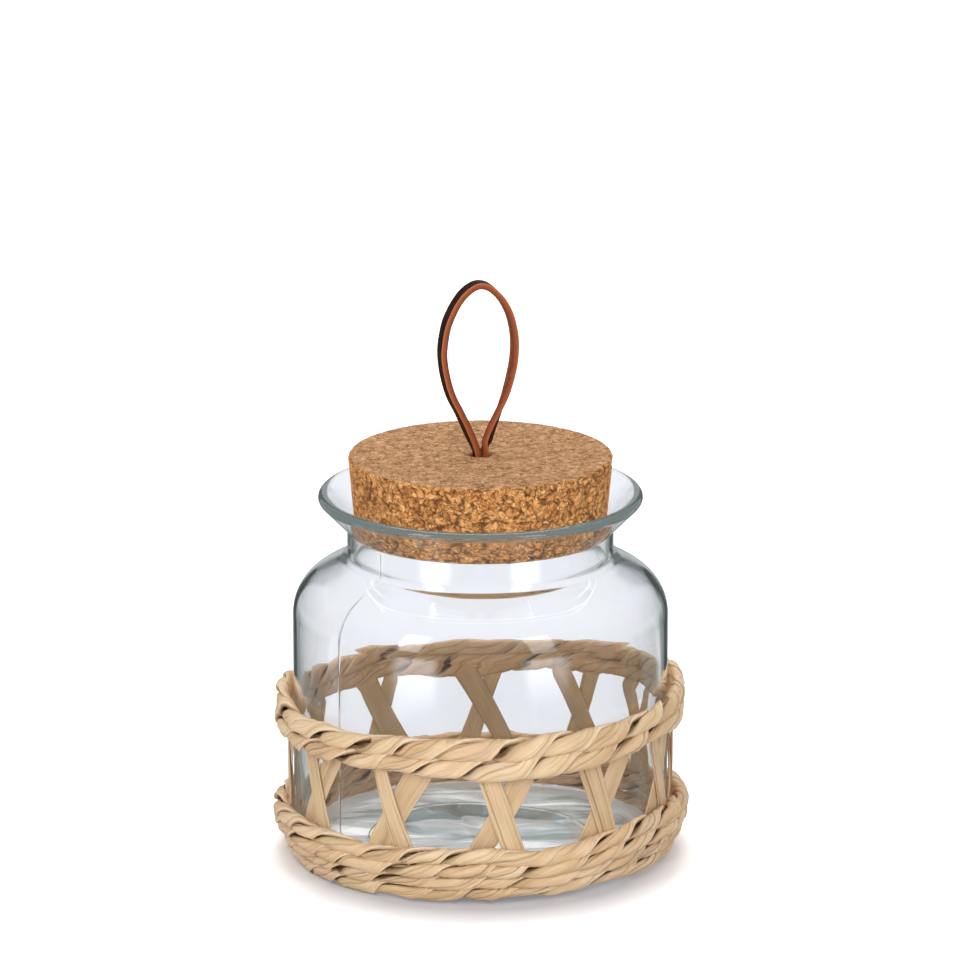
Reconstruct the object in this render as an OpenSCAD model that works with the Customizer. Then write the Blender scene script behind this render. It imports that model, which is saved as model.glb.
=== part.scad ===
// Storage jar of clear glass with a tapered cork stopper, a leather pull loop
// and a woven leaf cage round its lower half. The jar stands on Z = 0 with its
// axis on Z, and the photographed side faces -Y. Lengths are in millimetres.

/* [Glass jar] */
// Outer diameter of the straight body
body_d = 140; // [124:1:160]
// Height at which the straight body ends and the shoulder begins
body_h = 92; // [84:1:130]
// Thickness of the glass wall
wall = 2.6; // [1.8:0.1:4]
// Thickness of the glass at the base
base_t = 6; // [4:0.5:9]
// Radius of the rounded heel
heel_r = 12; // [9:0.5:15]
// Diameter of the push-up under the base
push_up_d = 82; // [60:1:90]
// Depth of the push-up
push_up_h = 2; // [1:0.25:3]
// Radius of the shoulder's curve
shoulder_r = 18; // [12:0.5:22]
// Slope of the shoulder's straight part, in degrees from level
shoulder_slope = 30; // [20:1:40]
// Outer diameter of the neck
neck_d = 99.2; // [80:0.2:102]
// Height of the neck between shoulder and collar
neck_h = 10.8; // [8:0.2:20]
// Radius of the hollow between shoulder and neck
neck_fillet = 3; // [1:0.25:4]
// Radius of the hollow between neck and collar
throat_fillet = 1; // [0.5:0.25:3]
// Outward slope of the flared collar, in degrees from upright
collar_slope = 47; // [35:1:52]
// Outer diameter of the collar's lip
lip_d = 120.8; // [116:0.2:130]
// Thickness of the rounded bead on the lip
lip_bead = 5.4; // [4.4:0.2:7]

/* [Cork stopper] */
// Height of the cork
cork_h = 29; // [20:0.2:40]
// Taper of the cork's side, in degrees from upright
cork_taper = 5.3; // [2:0.1:8]
// Rounding of the cork's edges
cork_edge = 1.2; // [0.6:0.1:3]
// Depth of the cork's foot in the neck
cork_seat = 0.6; // [0.4:0.1:4]
// Clearance between the cork and the neck's mouth
cork_gap = 0.25; // [0.15:0.05:0.5]
// Diameter of the hole for the strap
cork_bore = 8; // [7.6:0.1:12]

/* [Leather strap] */
// Width of the strap
strap_w = 5; // [3.6:0.1:5.4]
// Thickness of the strap
strap_t = 2.4; // [1.6:0.1:2.6]
// Height of the loop above the cork
loop_h = 67; // [56:1:90]
// Outer width of the loop
loop_w = 29.8; // [27:0.2:36]
// Share of the loop's height at which it is widest
loop_widest = 0.6; // [0.5:0.05:0.65]
// Radius of the curve at the top of the loop, to the strap's middle
loop_top_r = 9.5; // [7:0.5:11]
// Turn of the loop's plane about the jar's axis, in degrees
loop_turn = 14; // [0:1:45]
// Diameter of the knot under the cork
knot_d = 15; // [12:0.5:20]
// Height of the knot
knot_h = 8; // [6:0.5:12]
// Reach of the free tails from the strap's middle
tail_reach = 13; // [10:0.5:20]
// Droop of the free tails, in degrees from level
tail_droop = 20; // [10:1:40]
// Running clearance round the strap
strap_gap = 0.3; // [0.2:0.05:0.5]

/* [Woven cage] */
// Number of crosses in the lattice
crosses = 12; // [8:1:12]
// Turn of the first cross from the photographed side, before it strays, in degrees
lattice_turn = 3.1; // [0:0.1:30]
// How far the hand-set crosses stray from even spacing, in one wave round the jar, in degrees
stray_once = 4.2; // [0:0.1:5]
// How far they stray in two waves round the jar, in degrees
stray_twice = 3.4; // [0:0.1:4]
// Angle that an outer strip turns from band to band, in degrees
left_sweep_angle = 7.6; // [5:0.2:12]
// Angle that an inner strip turns from band to band, in degrees
right_sweep_angle = 13; // [8:0.2:14]
// Width of an outer strip
left_strip_w = 7.4; // [4:0.2:8]
// Width of an inner strip
right_strip_w = 9; // [4:0.2:9.4]
// Thickness of a leaf strip
strip_t = 0.7; // [0.5:0.05:1]
// Clearance between the cage's layers, and between the cage and the glass
cage_gap = 0.3; // [0.2:0.05:0.5]
// Thickness of a twined course, measured outwards
course_t = 4.2; // [3:0.1:4.8]
// Height of a course in the upper band
top_course_h = 6.7; // [5:0.1:8]
// Number of courses in the upper band
top_courses = 2; // [2:1:3]
// Height of the upper band's middle above the table
top_band_z = 56.3; // [50:0.1:64]
// Lean of the upper band out of level, in degrees
top_band_lean = 2.5; // [0:0.25:3]
// Turn from the photographed side to where the upper band is highest, in degrees
top_band_high_turn = 50; // [0:5:355]
// Height of a course in the base band
base_course_h = 4.9; // [4.2:0.1:5.4]
// Number of courses in the base band
base_courses = 4; // [3:1:5]
// Height of the lowest course above the table
base_lift = 1.4; // [0.2:0.1:2.4]

/* [Hidden] */
$fn = 96;
eps = 0.01;

body_r = body_d / 2;
neck_r = neck_d / 2;
lip_r = lip_d / 2;
push_up_r = push_up_d / 2;
// Radius of the shallow dome that the push-up is cut to
dome_r = (push_up_r * push_up_r + push_up_h * push_up_h) / (2 * push_up_h);

// Shoulder arc, its upper end, and the straight slope from there to the neck
shoulder_c = [body_r - shoulder_r, body_h];
slope_n = [sin(shoulder_slope), cos(shoulder_slope)];
function arc_end(t) = shoulder_c + (shoulder_r - t) * slope_n;
neck_foot_z = arc_end(0)[1] + (arc_end(0)[0] - neck_r) * tan(shoulder_slope);
// Centre of the hollow between shoulder and neck, the same for both faces
hollow_c = [
    neck_r + neck_fillet,
    arc_end(0)[1]
        + (neck_fillet - (neck_r + neck_fillet - arc_end(0)[0]) * slope_n[0]) / slope_n[1]
];

// Collar: its outer face leaves the neck at collar_z and ends on the bead
collar_z = neck_foot_z + neck_h;
collar_n = [cos(collar_slope), -sin(collar_slope)];
throat_c = [neck_r + throat_fillet, collar_z - throat_fillet * tan(collar_slope / 2)];
throat_z = throat_c[1];
throat_r = throat_fillet + wall;
bead_r = lip_bead / 2;
bead_x = lip_r - bead_r;
bead_c = [bead_x, collar_z + ((bead_x - neck_r) * collar_n[0] + bead_r) / -collar_n[1]];
jar_h = bead_c[1] + bead_r;
// Direction square to the collar's inner face, which touches throat and bead
reach = bead_c - throat_c;
inner_a = atan2(reach[1], reach[0]) + acos((throat_r - bead_r) / norm(reach));
inner_n = [cos(inner_a), sin(inner_a)];
neck_bore_r = neck_r - wall;

// Cork: its foot stands a little way down the neck
cork_foot_r = neck_bore_r - cork_gap - cork_seat * tan(cork_taper);
cork_z = throat_z - cork_seat;
cork_top = cork_z + cork_h;
cork_n = [cos(cork_taper), -sin(cork_taper)];
function cork_edge_c(z) = [cork_foot_r + z * tan(cork_taper) - cork_edge / cos(cork_taper), z];

// Strap: the loop tilts about a pivot just above the cork
shank_top = cork_top + strap_gap;
pivot_z = shank_top + strap_gap + strap_w / 2;
leg_gap = 0.1;
leg_x = (strap_t + leg_gap) / 2;
wide_x = (loop_w - strap_t) / 2;
wide_z = loop_h * loop_widest;
leg_arc_r = (pow(wide_x - leg_x, 2) + pow(wide_z, 2)) / (2 * (wide_x - leg_x));
crown_z = loop_h - strap_t / 2 - loop_top_r;
crown_dz = crown_z - wide_z;
side_arc_r = (pow(crown_dz, 2) + pow(wide_x, 2) - pow(loop_top_r, 2))
    / (2 * (wide_x - loop_top_r));
crown_join_z = crown_z + loop_top_r * crown_dz / (side_arc_r - loop_top_r);

// Cage: two layers of flat strips against the glass, and the courses outside them
strip_in_r = body_r + cage_gap;
strip_out_r = norm([strip_in_r + strip_t, right_strip_w / 2]) + cage_gap / 2;
course_in_r = strip_out_r + strip_t + cage_gap;
course_gap = cage_gap / 2;
base_pitch = base_course_h + course_gap;
top_pitch = top_course_h + course_gap;
top_band_h = top_courses * top_pitch - course_gap;
// The leaning band is opened so that it clears the strips on its high side
top_in_r = course_in_r + top_band_h / 2 * tan(top_band_lean);
base_band_top = base_lift + base_courses * base_pitch - course_gap;
top_band_foot = top_band_z - top_band_h / 2;
// Courses that hug the heel, below the ends of the strips
heel_courses = 2;
strip_end_cover = 1;
strip_foot_z = base_lift + heel_courses * base_pitch + strip_end_cover;
strip_head_z = top_band_z + top_band_h / 2 - strip_end_cover;
strip_rings = 10;

glass_tint = [0.85, 0.9, 0.92, 0.4];
cork_tan = [0.74, 0.54, 0.35];
leather_brown = [0.5, 0.24, 0.12];
leaf_tan = [0.83, 0.67, 0.46];
leaf_dark = [0.74, 0.58, 0.38];

// Half section of the jar below its collar, drawn in by t from the outer face
module jar_half(t, floor_z, floor_r) {
    body_x = body_r - t;
    neck_x = neck_r - t;
    translate([0, floor_z + floor_r]) square([body_x, body_h - floor_z - floor_r]);
    translate([0, floor_z]) square([body_x - floor_r, floor_r + eps]);
    intersection() {
        translate([body_x - floor_r, floor_z + floor_r]) circle(floor_r);
        translate([0, floor_z]) square([body_x, floor_r + eps]);
    }
    intersection() {
        translate(shoulder_c) circle(shoulder_r - t);
        translate([0, body_h - eps]) square([body_x, arc_end(t)[1] - body_h + eps]);
    }
    // slope and neck, with the hollow between them cut last
    difference() {
        polygon([
            [0, body_h - eps],
            [shoulder_c[0], body_h - eps],
            arc_end(t),
            hollow_c - (neck_fillet + t) * slope_n,
            hollow_c,
            [neck_x, hollow_c[1]],
            [neck_x, throat_z + eps],
            [0, throat_z + eps]
        ]);
        translate(hollow_c) circle(neck_fillet + t);
    }
}

// Half section of all that the collar's outer face encloses
module collar_half() {
    difference() {
        polygon([
            [0, throat_z],
            throat_c,
            throat_c - throat_fillet * collar_n,
            bead_c + bead_r * collar_n,
            bead_c,
            bead_c + bead_r * inner_n,
            [0, (bead_c + bead_r * inner_n)[1]]
        ]);
        translate(throat_c) circle(throat_fillet);
    }
}

// Half section of the mouth inside the collar
module mouth_half() {
    touch = bead_c + bead_r * inner_n;
    difference() {
        polygon([
            [0, throat_z - eps],
            [throat_c[0], throat_z - eps],
            throat_c,
            throat_c + throat_r * inner_n,
            touch,
            [touch[0], jar_h],
            [0, jar_h]
        ]);
        translate(throat_c) circle(throat_r);
    }
}

module glass_jar() {
    color(glass_tint)
    rotate_extrude() {
        difference() {
            union() {
                jar_half(0, 0, heel_r);
                collar_half();
            }
            jar_half(wall, base_t, heel_r);
            mouth_half();
            intersection() {
                translate([0, push_up_h - dome_r]) circle(dome_r, $fn = 720);
                square([push_up_r, push_up_h + eps]);
            }
        }
        translate(bead_c) circle(bead_r);
    }
}

module cork_lid() {
    foot_c = cork_edge_c(cork_edge);
    head_c = cork_edge_c(cork_h - cork_edge);
    color(cork_tan)
    translate([0, 0, cork_z])
    rotate_extrude() {
        difference() {
            union() {
                polygon([
                    [0, 0],
                    [foot_c[0], 0],
                    foot_c + cork_edge * cork_n,
                    head_c + cork_edge * cork_n,
                    [head_c[0], cork_h],
                    [0, cork_h]
                ]);
                translate(foot_c) circle(cork_edge);
                translate(head_c) circle(cork_edge);
            }
            translate([0, -1]) square([cork_bore / 2, cork_h + 2]);
        }
    }
}

// Space between two equal arcs that bulge to the sides, grown by o
module arc_pair(arc_r, o) {
    intersection() {
        translate([wide_x - arc_r, wide_z]) circle(arc_r + o, $fn = 360);
        translate([arc_r - wide_x, wide_z]) circle(arc_r + o, $fn = 360);
    }
}

// Outline of the loop, grown by o from the strap's middle line
module loop_outline(o) {
    half = wide_x + o;
    intersection() {
        arc_pair(leg_arc_r, o);
        translate([-half, 0]) square([2 * half, wide_z + eps]);
    }
    intersection() {
        arc_pair(side_arc_r, o);
        translate([-half, wide_z]) square([2 * half, crown_join_z - wide_z]);
    }
    translate([0, crown_z]) circle(loop_top_r + o);
}

module strap_loop() {
    color(leather_brown)
    rotate([0, 0, loop_turn])
    intersection() {
        // the band, seen from its broad side
        translate([0, strap_w / 2, cork_top])
        rotate([90, 0, 0])
        linear_extrude(strap_w)
        difference() {
            loop_outline(strap_t / 2);
            loop_outline(-strap_t / 2);
        }
        // its lower end is round about the pivot
        translate([-loop_w / 2, 0, pivot_z])
        rotate([90, 0, 90])
        linear_extrude(loop_w) {
            circle(strap_w / 2);
            translate([-strap_w / 2, 0]) square([strap_w, loop_h]);
        }
    }
}

module strap_shank() {
    foot = cork_z - strap_gap;
    color(leather_brown)
    rotate([0, 0, loop_turn])
    for (side = [-1, 1])
        translate([side * leg_x - strap_t / 2, -strap_w / 2, foot])
        cube([strap_t, strap_w, shank_top - foot]);
}

module strap_knot() {
    r = knot_h / 2;
    color(leather_brown)
    translate([0, 0, cork_z - strap_gap - r])
    rotate([0, 0, loop_turn]) {
        rotate_extrude() {
            translate([knot_d / 2 - r, 0]) intersection() {
                circle(r);
                translate([0, -r]) square([r, knot_h]);
            }
            translate([0, -r]) square([knot_d / 2 - r, knot_h]);
        }
        for (side = [-1, 1])
            rotate([0, side * tail_droop, side * 25])
            translate([side > 0 ? 0 : -tail_reach, -strap_w / 2, -strap_t / 2])
            cube([tail_reach, strap_w, strap_t]);
    }
}

// A twined course: a ring with rounded upper and lower edges
module course_ring(inner_r, h) {
    r = course_t / 2;
    rotate_extrude(convexity = 4)
    translate([inner_r + r, 0]) {
        translate([0, h / 2 - r]) circle(r);
        translate([0, r - h / 2]) circle(r);
        translate([-r, r - h / 2]) square([course_t, h - course_t]);
    }
}

module top_course(i) {
    color(leaf_tan)
    translate([0, 0, top_band_z])
    rotate([0, -top_band_lean, top_band_high_turn - 90])
    translate([0, 0, (i - (top_courses + 1) / 2) * top_pitch])
    course_ring(top_in_r, top_course_h);
}

// Inner radius of a course that lies on the heel, where its rounding starts at height z
function heel_course_r(z) = body_r - heel_r - course_t / 2
    + sqrt(pow(heel_r + cage_gap + course_t / 2, 2) - pow(max(heel_r - z, 0), 2));

module base_course(i) {
    foot = base_lift + (i - 1) * base_pitch;
    hug_r = heel_course_r(foot + base_course_h - course_t / 2);
    color(leaf_tan)
    translate([0, 0, foot + base_course_h / 2])
    course_ring(i > heel_courses ? course_in_r : hug_r, base_course_h);
}

// Turn of a strip at height z: it leans only between the two bands
function strip_turn(z, sweep) = sweep
    * (min(max((z - base_band_top) / (top_band_foot - base_band_top), 0), 1) - 1 / 2);

// Point of the cage at a turn from the photographed side, then out and across
function cage_point(turn, out, across, z) = [
    out * sin(turn) + across * cos(turn),
    across * sin(turn) - out * cos(turn),
    z
];

// Turn of a cross from the photographed side
function cross_turn(i) =
    let (even = lattice_turn + (i - 1) * 360 / crosses)
    even + stray_once * cos(even) + stray_twice * sin(2 * even);

// A flat leaf strip, swept up the glass between the bands
module leaf_strip(i, sweep, inner_r, w) {
    middle = cross_turn(i);
    head = strip_head_z
        + strip_in_r * cos(middle + sweep / 2 - top_band_high_turn) * tan(top_band_lean);
    levels = [for (k = [0 : strip_rings - 1])
        strip_foot_z + (head - strip_foot_z) * k / (strip_rings - 1)];
    corners = [[0, -1], [1, -1], [1, 1], [0, 1]];
    points = [for (z = levels, c = corners)
        cage_point(middle + strip_turn(z, sweep), inner_r + c[0] * strip_t, c[1] * w / 2, z)];
    walls = [for (k = [0 : strip_rings - 2], j = [0 : 3])
        let (a = 4 * k + j, b = 4 * k + (j + 1) % 4)
        each [[a, a + 4, b + 4], [a, b + 4, b]]];
    last = 4 * (strip_rings - 1);
    ends = [[0, 1, 2], [0, 2, 3], [last, last + 2, last + 1], [last, last + 3, last + 2]];
    polyhedron(points, concat(walls, ends), convexity = 4);
}

module strip_left(i) {
    color(leaf_tan) leaf_strip(i, -left_sweep_angle, strip_out_r, left_strip_w);
}

module strip_right(i) {
    color(leaf_dark) leaf_strip(i, right_sweep_angle, strip_in_r, right_strip_w);
}

glass_jar();
cork_lid();
strap_loop();
strap_shank();
strap_knot();
for (i = [1 : top_courses])
    top_course(i);
for (i = [1 : base_courses])
    base_course(i);
for (i = [1 : crosses]) {
    strip_left(i);
    strip_right(i);
}
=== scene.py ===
"""Looks of a glass storage jar with a cork stopper, a leather loop and a woven leaf cage.

Lengths in this script are millimetres and angles are degrees, unless a name or a comment says
otherwise, and build_mesh() turns points into the frame's metres. A turn is an angle about the
jar's axis from the photographed side, -Y, towards +X.
"""

import math

import bpy
import numpy as np
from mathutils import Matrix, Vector, noise


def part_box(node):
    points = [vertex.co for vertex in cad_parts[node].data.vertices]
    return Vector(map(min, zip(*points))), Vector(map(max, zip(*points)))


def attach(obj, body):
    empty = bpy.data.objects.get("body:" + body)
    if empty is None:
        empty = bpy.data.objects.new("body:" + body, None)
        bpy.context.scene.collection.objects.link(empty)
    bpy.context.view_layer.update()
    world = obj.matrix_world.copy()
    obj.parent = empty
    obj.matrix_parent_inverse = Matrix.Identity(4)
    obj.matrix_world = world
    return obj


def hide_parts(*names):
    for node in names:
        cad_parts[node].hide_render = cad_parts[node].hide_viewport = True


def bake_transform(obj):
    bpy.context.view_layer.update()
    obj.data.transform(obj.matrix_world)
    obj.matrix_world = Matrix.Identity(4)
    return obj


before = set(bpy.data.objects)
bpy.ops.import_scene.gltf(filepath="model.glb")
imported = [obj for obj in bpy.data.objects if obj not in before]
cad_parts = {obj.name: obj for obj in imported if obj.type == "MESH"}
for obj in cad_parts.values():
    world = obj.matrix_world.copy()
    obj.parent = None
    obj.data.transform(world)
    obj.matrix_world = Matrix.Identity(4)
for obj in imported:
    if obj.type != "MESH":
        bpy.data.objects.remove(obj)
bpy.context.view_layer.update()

MM = 0.001
TAU = 2 * math.pi


# Camera and stage

CAMERA_ELEVATION = 15.55
CAMERA_DISTANCE_M = 3.0
CAMERA_TARGET_M = Vector((0, 0, 0.1429))
CAMERA_LENS = 302.7
CAMERA_SHIFT_X = -0.0005
FLOOR_SIZE_M = 14.0


def toward(turn, elevation):
    """Unit vector away from the jar at a turn and an elevation."""
    a, e = math.radians(turn), math.radians(elevation)
    return Vector((math.sin(a) * math.cos(e), -math.cos(a) * math.cos(e), math.sin(e)))


def aim(obj, place, target):
    obj.location = place
    obj.rotation_euler = (target - place).to_track_quat("-Z", "Y").to_euler()


def make_camera():
    camera = bpy.data.objects.new("camera", bpy.data.cameras.new("camera"))
    bpy.context.scene.collection.objects.link(camera)
    camera.data.lens = CAMERA_LENS
    camera.data.shift_x = CAMERA_SHIFT_X
    place = CAMERA_TARGET_M + toward(0, CAMERA_ELEVATION) * CAMERA_DISTANCE_M
    aim(camera, place, CAMERA_TARGET_M)
    bpy.context.scene.camera = camera


def make_softbox(name, turn, elevation, distance, size, watts, colour=(1, 1, 1)):
    """An area lamp that faces the jar; distance and size are in metres. Returns the lamp."""
    data = bpy.data.lights.new(name, "AREA")
    data.shape = "RECTANGLE"
    data.size, data.size_y = size
    data.energy = watts
    data.color = colour
    lamp = bpy.data.objects.new(name, data)
    bpy.context.scene.collection.objects.link(lamp)
    target = Vector((0, 0, 0.08))
    aim(lamp, target + toward(turn, elevation) * distance, target)
    return lamp


# Node helpers

def add_node(tree, kind, inputs=None, **settings):
    """Adds a shader node. inputs maps a socket's name or number to a value or to another socket."""
    node = tree.nodes.new(kind)
    for key, value in settings.items():
        setattr(node, key, value)
    for key, value in (inputs or {}).items():
        if isinstance(value, bpy.types.NodeSocket):
            tree.links.new(value, node.inputs[key])
        else:
            node.inputs[key].default_value = value
    return node


def new_material(name):
    material = bpy.data.materials.new(name)
    material.use_nodes = True
    material.node_tree.nodes.clear()
    return material, material.node_tree


def finish_material(tree, shader):
    add_node(tree, "ShaderNodeOutputMaterial", {"Surface": shader})


def attribute(tree, name, output="Fac"):
    return add_node(tree, "ShaderNodeAttribute", attribute_name=name).outputs[output]


def math_node(tree, operation, a, b=0.0, clamp=False):
    node = add_node(tree, "ShaderNodeMath", {0: a, 1: b}, operation=operation, use_clamp=clamp)
    return node.outputs[0]


def scaled(tree, vector, factors):
    """The vector with each part times its factor."""
    node = add_node(tree, "ShaderNodeVectorMath", {0: vector, 1: factors}, operation="MULTIPLY")
    return node.outputs[0]


def noise_value(tree, vector, scale=1.0, detail=2.0, roughness=0.5, distortion=0.0):
    node = add_node(
        tree,
        "ShaderNodeTexNoise",
        {
            "Vector": vector,
            "Scale": scale,
            "Detail": detail,
            "Roughness": roughness,
            "Distortion": distortion,
        },
    )
    return node.outputs["Fac"]


def ramp(tree, value, stops):
    """A colour ramp. stops are (position, colour) pairs with linear RGB colours."""
    node = add_node(tree, "ShaderNodeValToRGB", {"Fac": value})
    elements = node.color_ramp.elements
    while len(elements) < len(stops):
        elements.new(0.5)
    for element, (position, colour) in zip(elements, stops):
        element.position = position
        element.color = (*colour, 1)
    return node.outputs["Color"]


def map_range(tree, value, low, high, to_low=0.0, to_high=1.0, smooth=False):
    node = add_node(
        tree,
        "ShaderNodeMapRange",
        {"Value": value, "From Min": low, "From Max": high, "To Min": to_low, "To Max": to_high},
        interpolation_type="SMOOTHSTEP" if smooth else "LINEAR",
    )
    return node.outputs["Result"]


def mix_colour(tree, factor, a, b, blend="MIX"):
    node = add_node(tree, "ShaderNodeMix", data_type="RGBA", blend_type=blend)
    for socket, value in ((node.inputs["Factor"], factor), (node.inputs[6], a), (node.inputs[7], b)):
        if isinstance(value, bpy.types.NodeSocket):
            tree.links.new(value, socket)
        else:
            socket.default_value = value if isinstance(value, float) else (*value, 1)
    return node.outputs[2]


def bump(tree, height, strength, distance_m, normal=None):
    inputs = {"Height": height, "Strength": strength, "Distance": distance_m}
    if normal is not None:
        inputs["Normal"] = normal
    return add_node(tree, "ShaderNodeBump", inputs).outputs["Normal"]


def ray_kind(tree, *kinds):
    """1 where the ray is of one of these kinds, and 0 elsewhere."""
    path = add_node(tree, "ShaderNodeLightPath")
    found = path.outputs[kinds[0]]
    for kind in kinds[1:]:
        found = math_node(tree, "MAXIMUM", found, path.outputs[kind])
    return found


# Stage

FLOOR_LIT = (0.90, 0.89, 0.87)
# The floor as the camera sees it: bright enough to stay white in soft shade
FLOOR_SEEN = (1.42, 1.42, 1.43)
# Close to the jar, under the front of the base, the floor is painted darker: a painted shadow
FLOOR_SHADED = (0.72, 0.74, 0.81)
SHADE_NEAR_M = 0.062
SHADE_FAR_M = 0.083
SHADE_FORWARD_M = 0.014
# The floor as it is seen through the glass, and the painted streaks of light and shade under the jar
FLOOR_THROUGH = (0.97, 0.98, 1.03)
STREAK_DARK = (0.56, 0.61, 0.60)
STREAK_GREY = (1.10, 1.14, 1.18)
STREAK_PALE = (2.15, 2.18, 2.24)
STREAK_SPREAD = (18.0, 70.0, 1.0)
STREAK_NEAR_M = 0.055
STREAK_FAR_M = 0.064
# Two dark screens behind the jar, one on each side, painted on the floor and in the sky where only mirrored rays see
# them: painted dark reflections inside its walls
SCREEN_SHADE = (0.06, 0.07, 0.07)
SCREEN_WALL_M = 0.067
SCREEN_TURNS = (10.5, 13.0, 23.0, 28.0)
WORLD_LIGHT = (0.56, 0.56, 0.57)
# What is mirrored in the glass, painted on the floor for mirrored rays only: a dim studio, and bright glowing cards
# before the jar that give painted highlights
MIRRORED_DARK = (0.05, 0.055, 0.052)
MIRRORED_GREY = (0.30, 0.32, 0.315)
MIRRORED_PALE = (0.85, 0.87, 0.88)
MIRRORED_BANDS = 2.4
MIRRORED_CARD = (3.8, 3.8, 4.0)
CARD_NEAR_M = 0.30
CARD_FAR_M = 0.62
CARD_TURN = 38.0
CARD_HALF_TURN = 13.0


def mirrored_ray(tree):
    """1 where a ray has been mirrored on its way from the camera, and 0 elsewhere."""
    depth = add_node(tree, "ShaderNodeLightPath").outputs["Glossy Depth"]
    return math_node(tree, "GREATER_THAN", depth, 0.5)


def mix_shaders(tree, factor, a, b):
    return add_node(tree, "ShaderNodeMixShader", {0: factor, 1: a, 2: b}).outputs[0]


def card_pattern(tree):
    """1 on two cards that lie on the floor before the jar, and 0 elsewhere. Only mirrored rays see them glow, as
    painted highlights.
    """
    where = add_node(tree, "ShaderNodeTexCoord").outputs["Object"]
    parts = add_node(tree, "ShaderNodeSeparateXYZ", {0: where})
    x = math_node(tree, "ABSOLUTE", parts.outputs["X"])
    turn = math_node(tree, "ARCTAN2", x, math_node(tree, "MULTIPLY", parts.outputs["Y"], -1))
    off = math_node(tree, "ABSOLUTE", math_node(tree, "SUBTRACT", turn, math.radians(CARD_TURN)))
    half = math.radians(CARD_HALF_TURN)
    inside = map_range(tree, off, half * 1.25, half * 0.6, smooth=True)
    reach = add_node(tree, "ShaderNodeVectorMath", {0: where}, operation="LENGTH").outputs["Value"]
    near = map_range(tree, reach, CARD_NEAR_M, CARD_NEAR_M + 0.06, smooth=True)
    far = map_range(tree, reach, CARD_FAR_M, CARD_FAR_M - 0.16, smooth=True)
    return math_node(tree, "MULTIPLY", inside, math_node(tree, "MULTIPLY", near, far))


def studio_pattern(tree):
    """Dark, grey and pale parts of the room, one beside the other round the jar, painted for mirrored rays only."""
    where = add_node(tree, "ShaderNodeTexCoord").outputs["Object"]
    direction = add_node(tree, "ShaderNodeVectorMath", {0: where}, operation="NORMALIZE").outputs[0]
    level = scaled(tree, direction, (1, 1, 0))
    bands = noise_value(tree, level, scale=MIRRORED_BANDS, detail=3.0, roughness=0.6)
    return ramp(tree, bands, [
        (0.36, MIRRORED_DARK), (0.46, MIRRORED_GREY), (0.56, MIRRORED_GREY), (0.64, MIRRORED_PALE)])


def under_glass(tree, place, distance):
    """Painted streaks of light and shade on the floor under the thick base of the jar, seen only through the glass.
    """
    streaks = noise_value(tree, scaled(tree, place, STREAK_SPREAD), scale=1.0, detail=2.5, roughness=0.6, distortion=0.6)
    colour = ramp(tree, streaks, [(0.40, STREAK_DARK), (0.47, STREAK_GREY), (0.53, STREAK_GREY), (0.60, STREAK_PALE)])
    open_floor = map_range(tree, distance, STREAK_NEAR_M, STREAK_FAR_M)
    return mix_colour(tree, open_floor, colour, FLOOR_THROUGH)


def screen_pattern(tree, vector, wall=0.0):
    """1 where a direction, or a place on the floor, lies on one of the two dark screens."""
    parts = add_node(tree, "ShaderNodeSeparateXYZ", {0: vector})
    aside = math_node(tree, "SUBTRACT", math_node(tree, "ABSOLUTE", parts.outputs["X"]), wall)
    turn = math_node(tree, "ARCTAN2", aside, parts.outputs["Y"])
    start, full, fading, end = (math.radians(angle) for angle in SCREEN_TURNS)
    inner = map_range(tree, turn, start, full, smooth=True)
    outer = map_range(tree, turn, end, fading, smooth=True)
    return math_node(tree, "MULTIPLY", inner, outer)


def make_floor():
    half = FLOOR_SIZE_M / 2
    mesh = bpy.data.meshes.new("floor")
    corners = [(-half, -half, 0), (half, -half, 0), (half, half, 0), (-half, half, 0)]
    mesh.from_pydata(corners, [], [(0, 1, 2, 3)])
    floor = bpy.data.objects.new("floor", mesh)
    bpy.context.scene.collection.objects.link(floor)
    material, tree = new_material("floor_white")
    lit = add_node(tree, "ShaderNodeBsdfDiffuse", {"Color": (*FLOOR_LIT, 1)}).outputs[0]
    place = add_node(tree, "ShaderNodeTexCoord").outputs["Object"]
    distance = add_node(tree, "ShaderNodeVectorMath", {0: place}, operation="LENGTH").outputs["Value"]
    screens = screen_pattern(tree, place, SCREEN_WALL_M)
    through_glass = add_node(
        tree, "ShaderNodeBsdfDiffuse", {"Color": under_glass(tree, place, distance)}).outputs[0]
    # painted shadow: the floor that the camera sees is darker close to the jar
    moved = add_node(
        tree, "ShaderNodeVectorMath", {0: place, 1: (0, SHADE_FORWARD_M, 0)}, operation="ADD").outputs[0]
    reach = add_node(tree, "ShaderNodeVectorMath", {0: moved}, operation="LENGTH").outputs["Value"]
    open_floor = map_range(tree, reach, SHADE_NEAR_M, SHADE_FAR_M)
    seen_colour = mix_colour(tree, open_floor, FLOOR_SHADED, FLOOR_SEEN)
    seen = add_node(tree, "ShaderNodeBsdfDiffuse", {"Color": seen_colour}).outputs[0]
    dim = mix_colour(tree, map_range(tree, distance, 0.4, 0.9, 0.0, 0.5), studio_pattern(tree), MIRRORED_PALE)
    colour = mix_colour(tree, card_pattern(tree), dim, MIRRORED_CARD)
    # painted dark reflections: the screens, which only mirrored rays see
    colour = mix_colour(tree, screens, colour, SCREEN_SHADE)
    # painted reflections: only mirrored rays see the floor glow with the studio and its cards
    mirrored = add_node(tree, "ShaderNodeEmission", {"Color": colour}).outputs[0]
    direct = mix_shaders(tree, ray_kind(tree, "Is Transmission Ray"), lit, through_glass)
    direct = mix_shaders(tree, ray_kind(tree, "Is Camera Ray"), direct, seen)
    finish_material(tree, mix_shaders(tree, mirrored_ray(tree), direct, mirrored))
    mesh.materials.append(material)


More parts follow.
